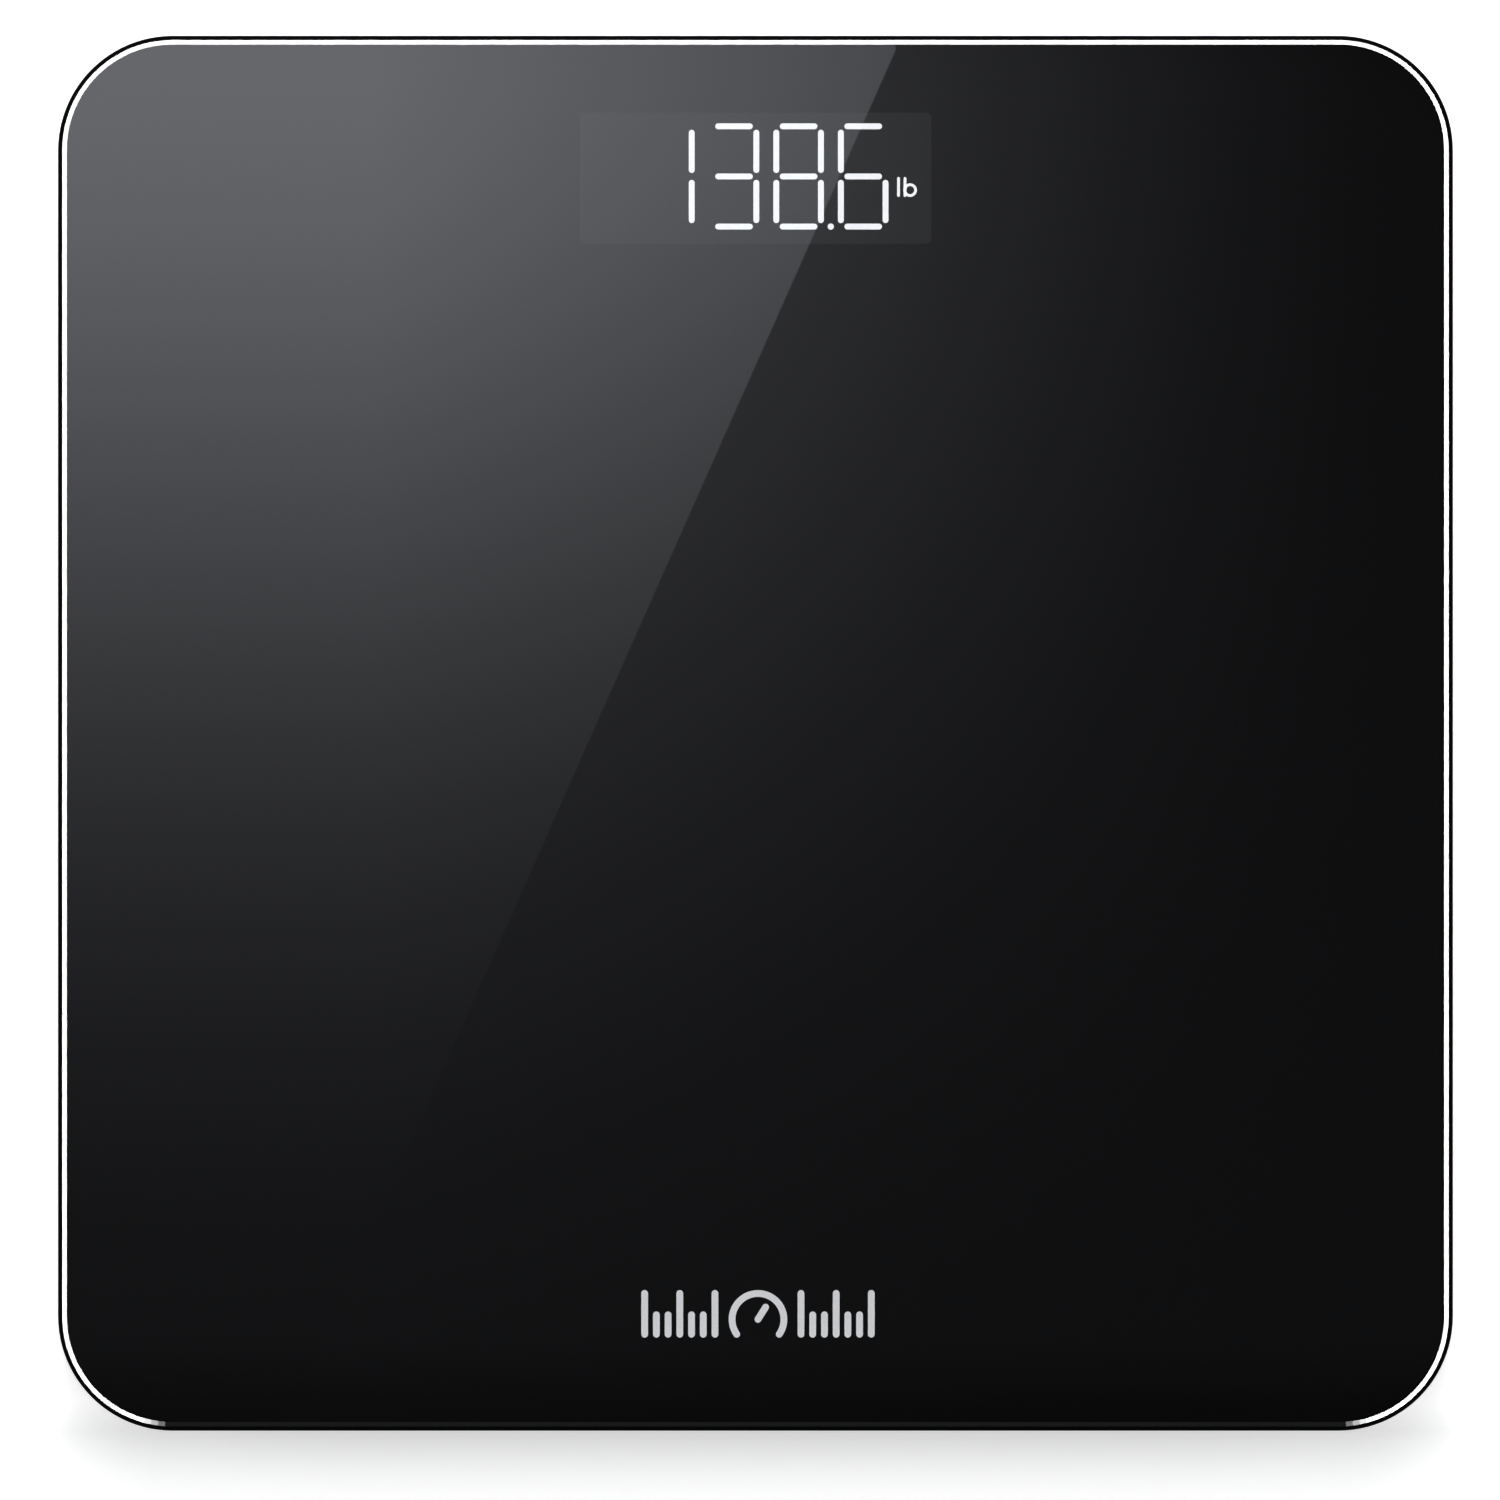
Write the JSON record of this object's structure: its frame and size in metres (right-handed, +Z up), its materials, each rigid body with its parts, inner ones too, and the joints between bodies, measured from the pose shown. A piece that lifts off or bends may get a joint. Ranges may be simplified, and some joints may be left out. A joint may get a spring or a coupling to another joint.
{
  "type": "bathroom scale",
  "caption": "Square low bathroom scale with a black-backed glass platform, a lit digital weight display behind the glass at the far edge, and sprung round feet under the corners.",
  "frame": {"origin": "middle of the platform's outline, at floor level under the feet", "axes": "+Z up, +Y towards the edge with the display, +X to the right for a person who stands facing the display"},
  "size_m": [0.28, 0.28, 0.025],
  "materials": {
    "toughened_glass": "clear, polished, with a ground and polished edge",
    "black_print": "black screen print, seen glossy through the glass",
    "smoked_window": "smoked, a little lighter than the print around it",
    "foam_tape": "white foam adhesive tape",
    "black_abs": "moulded, fine texture",
    "label_film": "blank silver film",
    "foot_rubber": "matt",
    "load_cell_steel": "stamped, plated",
    "white_silicone": "soft sheen",
    "white_plastic": "moulded",
    "lead_jacket": "satin",
    "cell_sleeve": "printed sleeve over a metal can, with no lettering",
    "contact_nickel": "nickel plated",
    "red_wire": "satin",
    "black_wire": "satin",
    "switch_black": "moulded",
    "switch_metal": "plated",
    "circuit_board": "green solder mask",
    "milky_film": "milky",
    "chip_black": "moulded",
    "part_metal": "plated can",
    "screw_steel": "plated"
  },
  "bodies": {
    "base": {"glass_platform": "toughened_glass", "printed_film": "black_print", "display_window": "smoked_window", "bonding_tape": "foam_tape", "base_housing": "black_abs", "rating_label": "label_film", "load_cell_front_left": "load_cell_steel", "load_cell_front_right": "load_cell_steel", "load_cell_back_left": "load_cell_steel", "load_cell_back_right": "load_cell_steel", "gauge_seal_front_left": "white_silicone", "gauge_seal_front_right": "white_silicone", "gauge_seal_back_left": "white_silicone", "gauge_seal_back_right": "white_silicone", "cell_carrier_front_left": "white_plastic", "cell_carrier_front_right": "white_plastic", "cell_carrier_back_left": "white_plastic", "cell_carrier_back_right": "white_plastic", "display_reflector": "white_plastic", "sensor_lead_front_left": "lead_jacket", "sensor_lead_front_right": "lead_jacket", "sensor_lead_back_left": "lead_jacket", "sensor_lead_back_right": "lead_jacket", "battery_1": "cell_sleeve", "battery_2": "cell_sleeve", "battery_3": "cell_sleeve", "contact_positive": "contact_nickel", "contact_negative": "contact_nickel", "contact_bridge_left": "contact_nickel", "contact_bridge_right": "contact_nickel", "battery_spring_1": "contact_nickel", "battery_spring_2": "contact_nickel", "battery_spring_3": "contact_nickel", "battery_lead_red": "red_wire", "battery_lead_black": "black_wire", "button_switch": "switch_metal", "main_board": "circuit_board", "display_diffuser": "milky_film", "controller_chip": "chip_black", "converter_chip": "chip_black", "clock_crystal": "part_metal", "capacitor": "part_metal", "board_screw_1": "screw_steel", "board_screw_2": "screw_steel", "board_screw_3": "screw_steel", "board_screw_4": "screw_steel"},
    "foot_front_left": {"foot_cup_front_left": "black_abs", "foot_pad_front_left": "foot_rubber"},
    "foot_front_right": {"foot_cup_front_right": "black_abs", "foot_pad_front_right": "foot_rubber"},
    "foot_back_left": {"foot_cup_back_left": "black_abs", "foot_pad_back_left": "foot_rubber"},
    "foot_back_right": {"foot_cup_back_right": "black_abs", "foot_pad_back_right": "foot_rubber"},
    "unit_button": {"unit_button": "black_abs", "switch_plunger": "switch_black"},
    "battery_door": {"battery_door": "black_abs"}
  },
  "joints": [
    {"name": "foot_front_left_slide", "type": "slide", "parent": "base", "child": "foot_front_left", "axis": [0, 0, 1], "range_m": [0, 0.0003], "stiffness_N_per_m": 1000, "deforming": ["load_cell_front_left"]},
    {"name": "foot_front_right_slide", "type": "slide", "parent": "base", "child": "foot_front_right", "axis": [0, 0, 1], "range_m": [0, 0.0003], "stiffness_N_per_m": 1000, "deforming": ["load_cell_front_right"]},
    {"name": "foot_back_left_slide", "type": "slide", "parent": "base", "child": "foot_back_left", "axis": [0, 0, 1], "range_m": [0, 0.0003], "stiffness_N_per_m": 1000, "deforming": ["load_cell_back_left"]},
    {"name": "foot_back_right_slide", "type": "slide", "parent": "base", "child": "foot_back_right", "axis": [0, 0, 1], "range_m": [0, 0.0003], "stiffness_N_per_m": 1000, "deforming": ["load_cell_back_right"]},
    {"name": "unit_button_press", "type": "slide", "parent": "base", "child": "unit_button", "axis": [0, 0, 1], "range_m": [0, 0.0005], "stiffness_N_per_m": 2000},
    {"name": "battery_door_hinge", "type": "hinge", "parent": "base", "child": "battery_door", "pos_m": [0, 0.0646, 0.0038], "axis": [1, 0, 0], "range_deg": [0, 55]}
  ]
}
